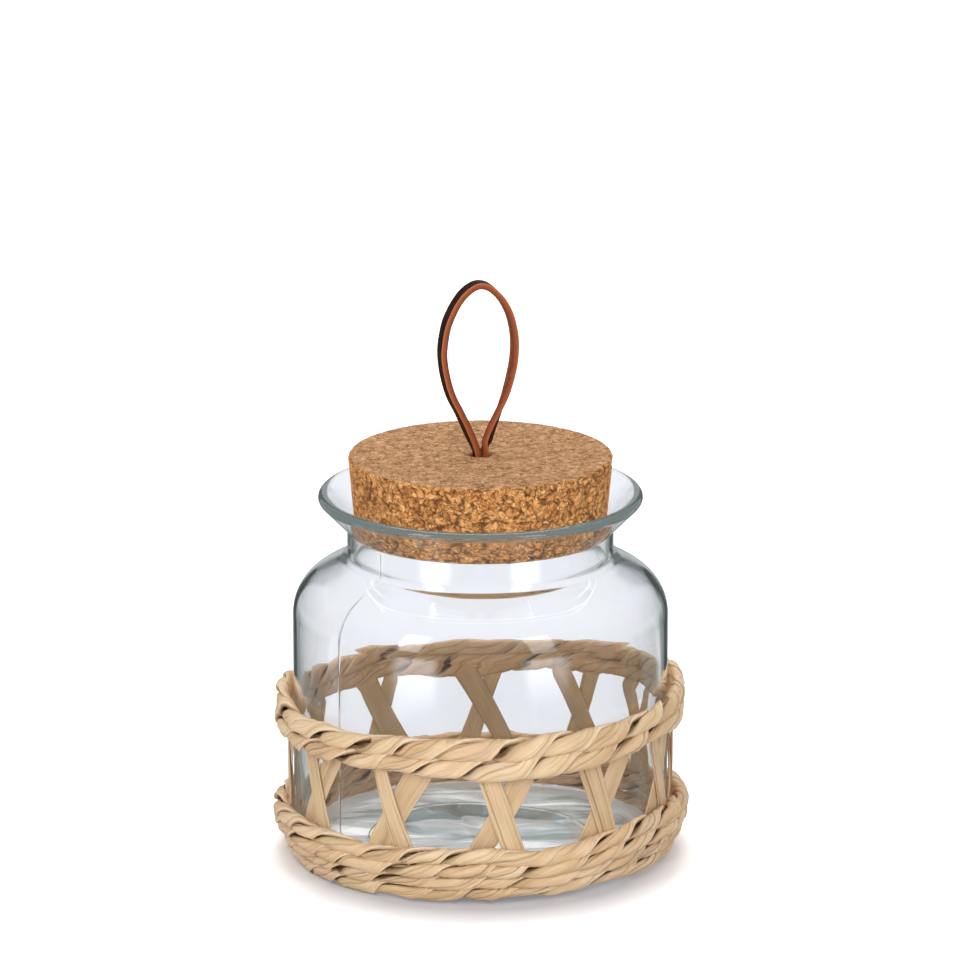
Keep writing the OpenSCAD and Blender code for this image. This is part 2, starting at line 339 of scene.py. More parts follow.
def make_world():
    """White behind the jar, soft light all round, and a dim room in reflections."""
    world = bpy.data.worlds.new("studio")
    world.use_nodes = True
    tree = world.node_tree
    tree.nodes.clear()
    direction = add_node(tree, "ShaderNodeTexCoord").outputs["Generated"]
    height = add_node(tree, "ShaderNodeSeparateXYZ", {0: direction}).outputs["Z"]
    pattern = ramp(tree, height, [
        (0.0, (0.42, 0.44, 0.44)), (0.3, (0.60, 0.61, 0.64)), (0.8, (0.95, 0.95, 0.97))])
    light = add_node(tree, "ShaderNodeBackground", {"Color": (*WORLD_LIGHT, 1)}).outputs[0]
    # painted dark reflections: the screens, which only mirrored rays see
    screens = screen_pattern(tree, direction)
    pattern = mix_colour(tree, screens, pattern, SCREEN_SHADE)
    room = add_node(tree, "ShaderNodeBackground", {"Color": pattern}).outputs[0]
    white = add_node(tree, "ShaderNodeBackground", {"Color": (1, 1, 1, 1)}).outputs[0]
    direct = mix_shaders(tree, ray_kind(tree, "Is Camera Ray", "Is Transmission Ray"), light, white)
    add_node(tree, "ShaderNodeOutputWorld", {"Surface": mix_shaders(tree, mirrored_ray(tree), direct, room)})
    bpy.context.scene.world = world


# Mesh helpers

def build_mesh(name, points, faces, body, slot, attributes=None):
    """An object from points in millimetres. faces are rows of corner numbers."""
    mesh = bpy.data.meshes.new(name)
    points = np.asarray(points, float).reshape(-1, 3)
    mesh.from_pydata((points * MM).tolist(), [], [list(map(int, f)) for f in faces])
    mesh.polygons.foreach_set("use_smooth", [True] * len(mesh.polygons))
    for key, values in (attributes or {}).items():
        values = np.asarray(values, np.float32)
        vector = values.size == 3 * len(points)
        made = mesh.attributes.new(key, "FLOAT_VECTOR" if vector else "FLOAT", "POINT")
        made.data.foreach_set("vector" if vector else "value", values.ravel())
    mesh.validate()
    obj = bpy.data.objects.new(name, mesh)
    bpy.context.scene.collection.objects.link(obj)
    if body:
        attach(obj, body)
    return obj


def grid_faces(rings, around, closed):
    """Quads of a skin with so many rings, each closed round."""
    i = np.arange(rings if closed else rings - 1)[:, None]
    j = np.arange(around)[None, :]
    following, beside = (i + 1) % rings, (j + 1) % around
    corners = [i * around + j, i * around + beside, following * around + beside, following * around + j]
    return np.stack(corners, -1).reshape(-1, 4)


def outward(points, faces):
    """The faces turned so that they face out of the closed skin."""
    p = np.asarray(points).reshape(-1, 3)
    a, b, c, d = (p[faces[:, k]] for k in range(4))
    volume = np.einsum("ij,ij->i", a, np.cross(b, c)) + np.einsum("ij,ij->i", a, np.cross(c, d))
    return faces if volume.sum() > 0 else faces[:, ::-1]


def skin_faces(rings, closed=False):
    """Faces of a skin over rings, an array of (ring, corner, xyz). Open ends get a cap."""
    count, around = rings.shape[:2]
    faces = grid_faces(count, around, closed)
    turned = outward(rings, faces)
    result = turned.tolist()
    if not closed:
        flipped = turned is not faces
        head = list(range(around))
        tail = [k + (count - 1) * around for k in head]
        result += [head if flipped else head[::-1], tail[::-1] if flipped else tail]
    return result


def smoothstep(x):
    x = np.clip(x, 0, 1)
    return x * x * (3 - 2 * x)


def ring_curve(points, blur=10):
    """A smooth closed curve through (turn, value) pairs, as a function of a turn."""
    turns, values = zip(*sorted((turn % 360, value) for turn, value in points))
    samples = np.interp(np.arange(360), turns, values, period=360)
    window = np.hanning(2 * blur + 1)
    window /= window.sum()
    wrapped = np.concatenate([samples[-blur:], samples, samples[:blur]])
    smoothed = np.convolve(wrapped, window, "valid")
    return lambda turn: np.interp(np.asarray(turn) % 360, np.arange(361), np.append(smoothed, smoothed[0]))


def through(points, steps):
    """Points along a smooth curve that passes through all the given ones."""
    p = np.asarray(points, float)
    p = np.vstack([2 * p[0] - p[1], p, 2 * p[-1] - p[-2]])
    t = np.linspace(0, 1, steps, endpoint=False)[:, None]
    runs = []
    for a, b, c, d in zip(p, p[1:], p[2:], p[3:]):
        runs.append(0.5 * (2 * b + (c - a) * t + (2 * a - 5 * b + 4 * c - d) * t**2
                           + (3 * b - a - 3 * c + d) * t**3))
    return np.vstack(runs + [p[-2:-1]])


def cad_points(node):
    return np.array([v.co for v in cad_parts[node].data.vertices], float) / MM


def turn_of(points):
    return np.degrees(np.arctan2(points[..., 0], -points[..., 1]))


def on_axis(turn, radius, z):
    """Points at turns, radii and heights."""
    a = np.radians(turn)
    return np.stack(np.broadcast_arrays(radius * np.sin(a), -radius * np.cos(a), z), -1)


# Glass

WALL = 2.6
BASE_T = 6.0
HEEL_R = 12.0
PUSH_UP_R = 41.0
PUSH_UP_H = 2.0
PUSH_UP_EDGE_R = 0.6
BODY_TOP_Z = 92.0
SHOULDER_R = 18.0
SHOULDER_SLOPE = 30.0
NECK_R = 49.6
NECK_FILLET = 3.0
# Inside, the neck runs into the shoulder in a wider curve
NECK_INNER_CURVE = 9.0
THROAT_FILLET = 1.0
COLLAR_SLOPE = 47.0
COLLAR_Z = 124.97
BEAD_R = 2.1
GLASS_TURNS = 360
# Mould seams: turn, and how far each stands proud
SEAMS = ((-48.0, 0.10), (132.0, 0.04))
SEAM_HALF_WIDTH = 0.26
SHOULDER_SEAM = (86.0, 111.0)
SHOULDER_SEAM_GAIN = 1.8
# Painted glow that ends a path caught deep in the glass, and the depth where it starts
CAUGHT_LIGHT = (0.21, 0.245, 0.24)
CAUGHT_DEPTH = 4.5
SEAM_STEPS = (0.0, 0.1, 0.2, 0.3, 0.4, 0.55, 0.75)


def polar(radius, angle):
    a = math.radians(angle)
    return np.array([radius * math.cos(a), radius * math.sin(a)])


def arc(centre, radius, start, end, steps):
    """Points (radius, height) on an arc between two angles from level."""
    return [centre + polar(radius, angle) for angle in np.linspace(start, end, steps)]


def run(start, end, steps):
    """Points inside a straight run, without its two ends."""
    start, end = np.asarray(start, float), np.asarray(end, float)
    return [start + (end - start) * k / steps for k in range(1, steps)]


def jar_profile():
    """Half sections of the glass: the outer face from foot to lip, and the inner face back down."""
    low, high = (np.array(corner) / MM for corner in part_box("glass_jar"))
    body_r, top = (high[0] - low[0]) / 2, high[2]
    points = cad_points("glass_jar")
    lip_r = np.hypot(points[:, 0], points[:, 1])[points[:, 2] > COLLAR_Z].max()
    square = 90 - SHOULDER_SLOPE
    shoulder = np.array([body_r - SHOULDER_R, BODY_TOP_Z])
    slope_start = shoulder + polar(SHOULDER_R, square)
    hollow_r = NECK_R + NECK_FILLET
    slope = math.radians(SHOULDER_SLOPE)
    hollow_rise = (NECK_FILLET - (hollow_r - slope_start[0]) * math.sin(slope)) / math.cos(slope)
    hollow = np.array([hollow_r, slope_start[1] + hollow_rise])
    inner_r = NECK_R - WALL + NECK_INNER_CURVE
    inner_rise = (NECK_INNER_CURVE - WALL - (inner_r - slope_start[0]) * math.sin(slope)) / math.cos(slope)
    inner_hollow = np.array([inner_r, slope_start[1] + inner_rise])
    throat_z = COLLAR_Z - THROAT_FILLET * math.tan(math.radians(COLLAR_SLOPE) / 2)
    throat = np.array([NECK_R + THROAT_FILLET, throat_z])
    throat_in = THROAT_FILLET + WALL
    bead = np.array([lip_r - BEAD_R, top - BEAD_R])
    reach = bead - throat
    inner = math.degrees(math.atan2(reach[1], reach[0]) + math.acos((throat_in - BEAD_R) / np.hypot(*reach)))
    dome_r = (PUSH_UP_R**2 + PUSH_UP_H**2) / (2 * PUSH_UP_H)
    dome_edge = math.degrees(math.asin(PUSH_UP_R / dome_r))
    heel = np.array([body_r - HEEL_R, HEEL_R])
    heel_in = np.array([body_r - WALL - HEEL_R, BASE_T + HEEL_R])
    foot_ring = np.array([PUSH_UP_R + PUSH_UP_EDGE_R, PUSH_UP_EDGE_R])

    outer = arc((0, PUSH_UP_H - dome_r), dome_r, 90, 90 - dome_edge, 24)
    outer += arc(foot_ring + (PUSH_UP_EDGE_R, 0), PUSH_UP_EDGE_R, 200, 270, 5)
    outer += run(outer[-1], (heel[0], 0), 9)
    outer += arc(heel, HEEL_R, -90, 0, 22)
    outer += run((body_r, HEEL_R), (body_r, BODY_TOP_Z), 36)
    outer += arc(shoulder, SHOULDER_R, 0, square, 22)
    outer += run(slope_start, hollow + polar(NECK_FILLET, 180 + square), 5)
    outer += arc(hollow, NECK_FILLET, 180 + square, 180, 9)
    outer += run((NECK_R, hollow[1]), (NECK_R, throat_z), 9)
    outer += arc(throat, THROAT_FILLET, 180, 180 - COLLAR_SLOPE, 6)
    outer += run(outer[-1], bead + polar(BEAD_R, -COLLAR_SLOPE), 11)
    outer += arc(bead, BEAD_R, -COLLAR_SLOPE, inner, 26)

    wall = run(outer[-1], throat + polar(throat_in, inner), 11)
    wall += arc(throat, throat_in, inner, 180, 12)
    wall += run((NECK_R - WALL, throat_z), (NECK_R - WALL, inner_hollow[1]), 9)
    wall += arc(inner_hollow, NECK_INNER_CURVE, 180, 180 + square, 13)
    wall += run(inner_hollow + polar(NECK_INNER_CURVE, 180 + square), shoulder + polar(SHOULDER_R - WALL, square), 5)
    wall += arc(shoulder, SHOULDER_R - WALL, square, 0, 22)
    wall += run((body_r - WALL, BODY_TOP_Z), (body_r - WALL, heel_in[1]), 34)
    wall += arc(heel_in, HEEL_R, 0, -90, 22)
    wall += run((heel_in[0], BASE_T), (0, BASE_T), 26)
    return np.array(outer), np.array(wall + [np.array([0.0, BASE_T])])


def glass_turns():
    """Turns at which the glass is sampled, closer together at the mould seams."""
    even = np.arange(GLASS_TURNS) * 360 / GLASS_TURNS
    near = [seam + sign * step for seam, _ in SEAMS for sign in (-1, 1) for step in SEAM_STEPS]
    return np.unique(np.round(np.concatenate([even, np.array(near) % 360]), 3))


def make_glass():
    outer, wall = jar_profile()
    turns = glass_turns()[:, None]
    a = np.radians(turns)
    profile = np.vstack([outer, wall])
    radius, z = profile[:, 0][None, :], profile[:, 1][None, :]
    inside = (np.arange(len(profile)) >= len(outer))[None, :]
    # the outer face follows the mould, and the blown inner one wanders
    inner_drift = 0.10 * np.sin(2 * a + 0.055 * z + 0.6) + 0.05 * np.sin(3 * a - 0.083 * z + 2.1)
    inner_drift = inner_drift + 0.035 * np.sin(5 * a + 0.12 * z + 4.0) + 0.02 * np.sin(9 * a - 0.21 * z)
    outer_drift = 0.03 * np.sin(3 * a + 0.06 * z) + 0.015 * np.sin(7 * a - 0.11 * z + 1.0)
    shift = np.where(inside, inner_drift, outer_drift) * smoothstep(radius / 40)
    on_wall = ~inside & (radius > 45) & (z > 1) & (z < COLLAR_Z - 0.5)
    # on the shoulder a seam needs more reach to stand as proud
    shoulder = smoothstep((z - SHOULDER_SEAM[0]) / 12) * smoothstep((SHOULDER_SEAM[1] - z) / 5)
    for seam, proud in SEAMS:
        gap = (turns - seam + 180) % 360 - 180
        reach = proud * (1 + SHOULDER_SEAM_GAIN * shoulder)
        shift = shift + reach * np.exp(-(gap / SEAM_HALF_WIDTH) ** 2) * on_wall
    low = inside & (z < BASE_T + 8)
    floor_wave = 0.30 * np.sin(a + 1.0) * radius / 60 + 0.28 * np.cos(radius / 7.5)
    floor_wave = floor_wave + 0.14 * np.sin(3 * a + radius / 9) + 0.08 * np.sin(7 * a - radius / 5)
    lift = np.where(low, floor_wave * smoothstep(radius / 26), 0)
    rings = on_axis(turns, np.maximum(radius + shift, 0.0), z + lift)
    glass = build_mesh("glass_jar_clear", *closed_lathe(rings), "jar", "glass")
    glass.data.materials.append(glass_material())
    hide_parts("glass_jar")


def closed_lathe(rings):
    """Points and faces of a turned skin whose first and last points all lie on the axis."""
    count, around = rings.shape[:2]
    inner = rings[:, 1:-1].reshape(-1, 3)
    points = np.vstack([inner, rings[0, 0], rings[0, -1]])
    width = around - 2
    foot, head = count * width, count * width + 1
    i, j = np.arange(count)[:, None], np.arange(width - 1)[None, :]
    following = (i + 1) % count
    quads = np.stack([i * width + j, following * width + j, following * width + j + 1, i * width + j + 1], -1)
    ring = np.arange(count)
    beside = (ring + 1) % count
    low = np.stack([np.full(count, foot), beside * width, ring * width], -1)
    last = width - 1
    high = np.stack([np.full(count, head), ring * width + last, beside * width + last], -1)
    faces = quads.reshape(-1, 4).tolist() + low.tolist() + high.tolist()
    volume = sum(np.dot(points[f[0]], np.cross(points[f[1]], points[f[2]])) for f in faces[:count])
    return points, faces


def glass_material():
    """Clear soda glass, greyer where it is thick. Lamps and soft light pass straight through it."""
    material, tree = new_material("clear_glass")
    where = add_node(tree, "ShaderNodeTexCoord").outputs["Object"]
    ripple = noise_value(tree, scaled(tree, where, (1, 1, 0.5)), scale=38, detail=2.0)
    cords = noise_value(tree, scaled(tree, where, (1, 1, 0.12)), scale=150, detail=1.5)
    height = math_node(tree, "ADD", ripple, math_node(tree, "MULTIPLY", cords, 0.08))
    normal = bump(tree, height, 0.12, 0.0006)
    glass = add_node(
        tree,
        "ShaderNodeBsdfPrincipled",
        {
            "Base Color": (0.985, 0.99, 0.995, 1),
            "Roughness": 0.0,
            "IOR": 1.5,
            "Transmission Weight": 1.0,
            "Normal": normal,
        },
    )
    clear = add_node(tree, "ShaderNodeBsdfTransparent", {"Color": (0.985, 0.985, 0.985, 1)})
    passing = ray_kind(tree, "Is Shadow Ray", "Is Diffuse Ray")
    # a path that is caught in the collar or the foot ends in a painted grey-green glow, an emission that stands in
    # for the light it would bring out
    caught = add_node(tree, "ShaderNodeEmission", {"Color": (*CAUGHT_LIGHT, 1)})
    depth_now = add_node(tree, "ShaderNodeLightPath").outputs["Ray Depth"]
    deep = math_node(tree, "GREATER_THAN", depth_now, CAUGHT_DEPTH)
    body = mix_shaders(tree, deep, glass.outputs[0], caught.outputs[0])
    surface = mix_shaders(tree, passing, body, clear.outputs[0])
    depth = add_node(tree, "ShaderNodeVolumeAbsorption", {"Color": (0.15, 0.34, 0.28, 1), "Density": 10.0})
    add_node(tree, "ShaderNodeOutputMaterial", {"Surface": surface, "Volume": depth.outputs[0]})
    return material


# Cork

CORK_TURNS = 620
CORK_EDGE = 1.2
CORK_BORE_R = 4.0
CHIP_SIZE = 3.4
CHIP_STRETCH = 1.35


def cork_profile():
    """(radius, height) points from the foot of the bore out, up the side and back to the bore."""
    low, high = (np.array(corner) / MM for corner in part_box("cork_lid"))
    points = cad_points("cork_lid")
    foot_r = np.hypot(*points[points[:, 2] < low[2] + 0.01][:, :2].T).max() + CORK_EDGE
    top_r = (high[0] - low[0]) / 2
    foot_c, top_c = (foot_r - CORK_EDGE, low[2] + CORK_EDGE), (top_r - CORK_EDGE, high[2] - CORK_EDGE)
    profile = [(r, low[2]) for r in np.linspace(CORK_BORE_R, foot_c[0], 34)]
    profile += arc(foot_c, CORK_EDGE, -75, -10, 5)
    profile += run((foot_r, foot_c[1]), (top_r, top_c[1]), 62)
    profile += arc(top_c, CORK_EDGE, 10, 75, 5)
    profile += [(r, high[2]) for r in np.linspace(top_c[0], CORK_BORE_R + 0.3, 84)]
    profile += [(CORK_BORE_R, z) for z in np.linspace(high[2] - 0.5, low[2] + 1, 14)]
    return np.array([tuple(point) for point in profile])


def chip_space(point):
    """The place of a point among the chips, which are bent and lie every way."""
    p = Vector(point)
    bent = p + 3.0 * noise.noise_vector(p * 0.17) + 1.0 * noise.noise_vector(p * 0.45 + Vector((5, 1, 8)))
    return Vector((bent.x, bent.y, bent.z * CHIP_STRETCH)) / CHIP_SIZE


def cork_relief(point, side):
    """Depth of the surface at a point, how much of a crack it is, and its chip's tone."""
    p = chip_space(point)
    distances, centres = noise.voronoi(p)
    crack = distances[1] - distances[0]
    fine_distances, _ = noise.voronoi(p * 2.1 + Vector((7, 3, 1)))
    fine = fine_distances[1] - fine_distances[0]
    chip = noise.noise(centres[0] * 11.3)
    where = Vector(point)
    rough = noise.noise(where * 1.1)
    wide = max(0.02, (0.17 if side else 0.10) + 0.2 * noise.noise(where * 0.4))
    gap = max(0.0, 1 - crack / wide)
    patch = max(0.0, noise.noise(where * 0.5 + Vector((9, 9, 9))) + 0.2)
    small = max(0.0, 1 - fine / 0.2) * patch
    depth = (0.60 if side else 0.2) * gap + (0.34 if side else 0.16) * small
    depth += (0.14 if side else 0.03) * (0.5 - 0.5 * chip) + (0.06 if side else 0.03) * rough
    return depth, min(1.0, gap + 0.8 * small), chip


def make_cork():
    profile = cork_profile()
    turns = np.arange(CORK_TURNS)[:, None] * 360 / CORK_TURNS
    rings = on_axis(turns, profile[:, 0][None, :], profile[:, 1][None, :])
    direction = np.gradient(profile, axis=0)
    normal = np.stack([direction[:, 1], -direction[:, 0]], -1)
    normal /= np.linalg.norm(normal, axis=1)[:, None]
    out = on_axis(turns, normal[:, 0][None, :], normal[:, 1][None, :]).reshape(-1, 3)
    flat = rings.reshape(-1, 3)
    side = np.tile(np.abs(normal[:, 0]) > 0.25, CORK_TURNS)
    in_bore = np.tile(profile[:, 0] < CORK_BORE_R + 0.2, CORK_TURNS)
    relief = np.array([cork_relief(p, s) for p, s in zip(flat, side)])
    depth = np.where(in_bore, relief[:, 0] * 0.4, relief[:, 0])
    points = flat - out * depth[:, None]
    faces = outward(rings, grid_faces(CORK_TURNS, len(profile), True))
    attributes = {"crack": relief[:, 1], "chip": relief[:, 2] * 0.5 + 0.5, "side": side.astype(float)}
    cork = build_mesh("cork_stopper", points, faces, "lid", "cork", attributes)
    cork.data.materials.append(cork_material())
    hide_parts("cork_lid")


def cork_material():
    """Pressed cork granules: chips of many tans, fine growth lines, and dark gaps, partly their own colour and partly
    painted shade.
    """
    material, tree = new_material("pressed_cork")
    where = add_node(tree, "ShaderNodeTexCoord").outputs["Object"]
    swirl = add_node(tree, "ShaderNodeTexNoise", {"Vector": where, "Scale": 190.0, "Detail": 1.0})
    centred = add_node(
        tree, "ShaderNodeVectorMath", {0: swirl.outputs["Color"], 1: (0.5, 0.5, 0.5)}, operation="SUBTRACT")
    pull = scaled(tree, centred.outputs[0], (0.011, 0.011, 0.011))
    bent = add_node(tree, "ShaderNodeVectorMath", {0: where, 1: pull}, operation="ADD").outputs[0]
    flat = scaled(tree, bent, (1.0, 1.0, 1.25))
    chips = add_node(tree, "ShaderNodeTexVoronoi", {"Vector": flat, "Scale": 520.0})
    edges = add_node(
        tree, "ShaderNodeTexVoronoi", {"Vector": flat, "Scale": 520.0}, feature="DISTANCE_TO_EDGE")
    tint = add_node(tree, "ShaderNodeSeparateColor", {"Color": chips.outputs["Color"]})
    lines = add_node(
        tree, "ShaderNodeTexWave",
        {"Vector": bent, "Scale": 300.0, "Distortion": 5.0, "Detail": 2.0, "Detail Scale": 2.0})
    side = attribute(tree, "side")
    crack = attribute(tree, "crack")
    big_chip = attribute(tree, "chip")
    tone = math_node(tree, "ADD", math_node(tree, "MULTIPLY", tint.outputs["Red"], 0.5),
                     math_node(tree, "MULTIPLY", big_chip, 0.5))
    side_colour = ramp(tree, tone, [
        (0.12, (0.44, 0.165, 0.042)), (0.36, (0.72, 0.315, 0.094)),
        (0.62, (0.89, 0.430, 0.145)), (0.88, (0.99, 0.60, 0.25))])
    top_colour = ramp(tree, tone, [
        (0.12, (0.40, 0.195, 0.080)), (0.38, (0.58, 0.315, 0.140)),
        (0.62, (0.69, 0.395, 0.185)), (0.9, (0.86, 0.55, 0.30))])
    colour = mix_colour(tree, side, top_colour, side_colour)
    line_mask = map_range(tree, lines.outputs["Fac"], 0.25, 0.0)
    colour = mix_colour(tree, math_node(tree, "MULTIPLY", line_mask, 0.35), colour, (0.26, 0.10, 0.035))
    # dark lines between chips: partly their own colour, partly painted shade, stronger on the side
    seam = map_range(tree, edges.outputs["Distance"], 0.10, 0.0)
    seam_noise = map_range(tree, noise_value(tree, where, scale=260.0), 0.38, 0.52)
    seam = math_node(tree, "MULTIPLY", seam, seam_noise)
    seam_depth = map_range(tree, side, 0.0, 1.0, 0.62, 0.95)
    colour = mix_colour(tree, math_node(tree, "MULTIPLY", seam, seam_depth), colour, (0.15, 0.055, 0.02))
    specks = map_range(tree, noise_value(tree, where, scale=1500.0, detail=3.0), 0.60, 0.72)
    colour = mix_colour(tree, math_node(tree, "MULTIPLY", specks, 0.7), colour, (0.24, 0.10, 0.04))
    # the sunken cracks: partly their own dark colour, partly painted shade, stronger on the side
    crack_depth = map_range(tree, side, 0.0, 1.0, 0.75, 0.97)
    colour = mix_colour(tree, math_node(tree, "MULTIPLY", crack, crack_depth), colour, (0.10, 0.036, 0.013))
    grain = noise_value(tree, where, scale=1800.0, detail=4.0, roughness=0.65)
    height = math_node(tree, "SUBTRACT", grain, math_node(tree, "MULTIPLY", seam, 0.8))
    normal = bump(tree, height, 0.5, 0.00035)
    shader = add_node(
        tree, "ShaderNodeBsdfPrincipled",
        {"Base Color": colour, "Roughness": 0.82, "Specular IOR Level": 0.25, "Normal": normal})
    finish_material(tree, shader.outputs[0])
    return material


# Leather

STRAP_W = 5.0
STRAP_T = 2.4
LOOP_TURN = 14.0
# Middle line of the strap in the loop's plane: across, and height above the cork
STRAP_LINE = [
    (-1.3, -30), (-1.3, -15), (-1.3, -4), (-1.45, 0.9), (-4.4, 8.2), (-8.1, 16.5), (-11.0, 22.3),
    (-13.0, 28.5), (-14.3, 35.5), (-14.5, 41.5), (-13.2, 49.4), (-11.1, 54.8), (-8.2, 59.7),
    (-5.0, 63.0), (-1.3, 64.8), (2.2, 64.2), (5.2, 61.9), (8.4, 58.2), (11.0, 53.0), (12.6, 46.5),
    (13.0, 40.5), (12.4, 33.8), (10.7, 26.4), (8.9, 20.8), (6.4, 15.0), (3.5, 7.9), (1.45, 0.8),
    (1.3, -4), (1.3, -15), (1.3, -30),
]


def strap_section():
    """Outline of the strap's section (across its width, outward), and the kind of each side."""
    w, t, soft = STRAP_W / 2, STRAP_T / 2, 0.35
    outline, kinds = [], []
    sides = [
        ((-w + soft, t), (w - soft, t), 7, 0),
        ((w, t - soft), (w, -t + soft), 5, 1),
        ((w - soft, -t), (-w + soft, -t), 7, 2),
        ((-w, -t + soft), (-w, t - soft), 5, 1),
    ]
    for start, end, count, kind in sides:
        for k in range(count):
            outline.append(np.array(start) + (np.array(end) - np.array(start)) * k / (count - 1))
            kinds.append(kind)
    return np.array(outline), kinds


def make_strap():
    cork_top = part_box("cork_lid")[1][2] / MM
    line = through(STRAP_LINE, 9)
    a = math.radians(LOOP_TURN)
    across, normal = np.array([math.cos(a), math.sin(a), 0]), np.array([math.sin(a), -math.cos(a), 0])
    path = line[:, :1] * across + np.array([0, 0, cork_top]) + line[:, 1:] * np.array([0, 0, 1.0])
    tangent = np.gradient(path, axis=0)
    tangent /= np.linalg.norm(tangent, axis=1)[:, None]
    outwards = np.cross(tangent, normal)
    if (outwards * (path - path.mean(0)))[len(path) // 2].sum() < 0:
        outwards = -outwards
    height = line[:, 1]
    right = line[:, 0] > 0
    # both arms twist a little above the hole, and stay straight inside it
    low = smoothstep((height - 0.5) / 5) * (1 - smoothstep((height - 4) / 26))
    turn_out = -9 * smoothstep((4 - line[:, 0]) / 10) * smoothstep(height / 8)
    twist = np.radians(np.where(right, -38, -4) * low + turn_out)[:, None]
    width_axis = normal * np.cos(twist) + outwards * np.sin(twist)
    out_axis = outwards * np.cos(twist) - normal * np.sin(twist)
    outline, kinds = strap_section()
    travel = np.concatenate([[0], np.cumsum(np.linalg.norm(np.diff(path, axis=0), axis=1))])
    wobble = 1 + 0.03 * np.sin(travel / 4.1) + 0.02 * np.sin(travel / 1.7 + 1)
    rings = (path[:, None, :] + outline[None, :, :1] * width_axis[:, None, :] * wobble[:, None, None]
             + outline[None, :, 1:] * out_axis[:, None, :])
    count, around = rings.shape[:2]
    faces = skin_faces(rings)
    grain = np.stack(np.broadcast_arrays(travel[:, None], outline[None, :, 0] + 0, outline[None, :, 1]), -1)
    strap = build_mesh("leather_strap", rings, faces, None, "leather", {"grain": grain * MM})
    for material in (leather_grain(), leather_edge(), leather_flesh()):
        strap.data.materials.append(material)
    side_kind = [kinds[j] if kinds[j] == kinds[(j + 1) % around] else 1 for j in range(around)]
    slots = [side_kind[j] for _ in range(count - 1) for j in range(around)] + [1, 1]
    strap.data.polygons.foreach_set("material_index", slots)
    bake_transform(strap)
    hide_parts("strap_loop", "strap_shank")


def leather_base(tree, colour, roughness, height, depth, specular=0.4):
    normal = bump(tree, height, 0.6, depth)
    return add_node(
        tree, "ShaderNodeBsdfPrincipled",
        {"Base Color": colour, "Roughness": roughness, "Specular IOR Level": specular, "Normal": normal})


def leather_grain():
    """The finished side: dark brown, with fine pores and creases."""
    material, tree = new_material("leather_grain")
    grain = attribute(tree, "grain", "Vector")
    pores = add_node(
        tree, "ShaderNodeTexVoronoi", {"Vector": grain, "Scale": 2600.0}, feature="DISTANCE_TO_EDGE")
    cloud = noise_value(tree, grain, scale=260.0, detail=3.0)
    colour = ramp(tree, cloud, [(0.3, (0.010, 0.003, 0.002)), (0.7, (0.034, 0.010, 0.005))])
    shader = leather_base(tree, colour, 0.6, pores.outputs["Distance"], 0.00012, 0.08)
    finish_material(tree, shader.outputs[0])
    return material


def leather_edge():
    """The cut edge: rust fibres, paler along the finished side and dark where rubbed."""
    material, tree = new_material("leather_edge")
    grain = attribute(tree, "grain", "Vector")
    parts = add_node(tree, "ShaderNodeSeparateXYZ", {0: grain})
    layer = map_range(tree, parts.outputs["Z"], -STRAP_T / 2 * MM, STRAP_T / 2 * MM)
    base = ramp(tree, layer, [
        (0.0, (0.07, 0.012, 0.005)), (0.25, (0.20, 0.035, 0.008)), (0.7, (0.33, 0.070, 0.014)),
        (0.93, (0.44, 0.13, 0.045))])
    streak = noise_value(tree, scaled(tree, grain, (700, 2600, 2600)), detail=3.0)
    base = mix_colour(tree, map_range(tree, streak, 0.35, 0.75, 0.0, 0.4), base, (0.45, 0.12, 0.026))
    fleck = noise_value(tree, scaled(tree, grain, (1300, 2400, 2400)), detail=3.0)
    inner = map_range(tree, layer, 0.75, 0.1)
    dark = math_node(tree, "MULTIPLY", map_range(tree, fleck, 0.55, 0.68), inner)
    colour = mix_colour(tree, math_node(tree, "MULTIPLY", dark, 0.85), base, (0.07, 0.018, 0.01))
    shader = leather_base(tree, colour, 0.62, streak, 0.00015)
    finish_material(tree, shader.outputs[0])
    return material


def leather_flesh():
    """The raw inner side: rust suede."""
    material, tree = new_material("leather_flesh")
    grain = attribute(tree, "grain", "Vector")
    nap = noise_value(tree, grain, scale=3200.0, detail=4.0, roughness=0.7)
    cloud = noise_value(tree, grain, scale=300.0, detail=2.0)
    colour = ramp(tree, math_node(tree, "MULTIPLY", math_node(tree, "ADD", nap, cloud), 0.5), [
        (0.35, (0.10, 0.020, 0.008)), (0.5, (0.26, 0.055, 0.014)), (0.68, (0.38, 0.095, 0.026))])
    shader = leather_base(tree, colour, 0.85, nap, 0.0002, 0.2)
    finish_material(tree, shader.outputs[0])
    return material


KNOT_R = 4.6
KNOT_H = 2.2


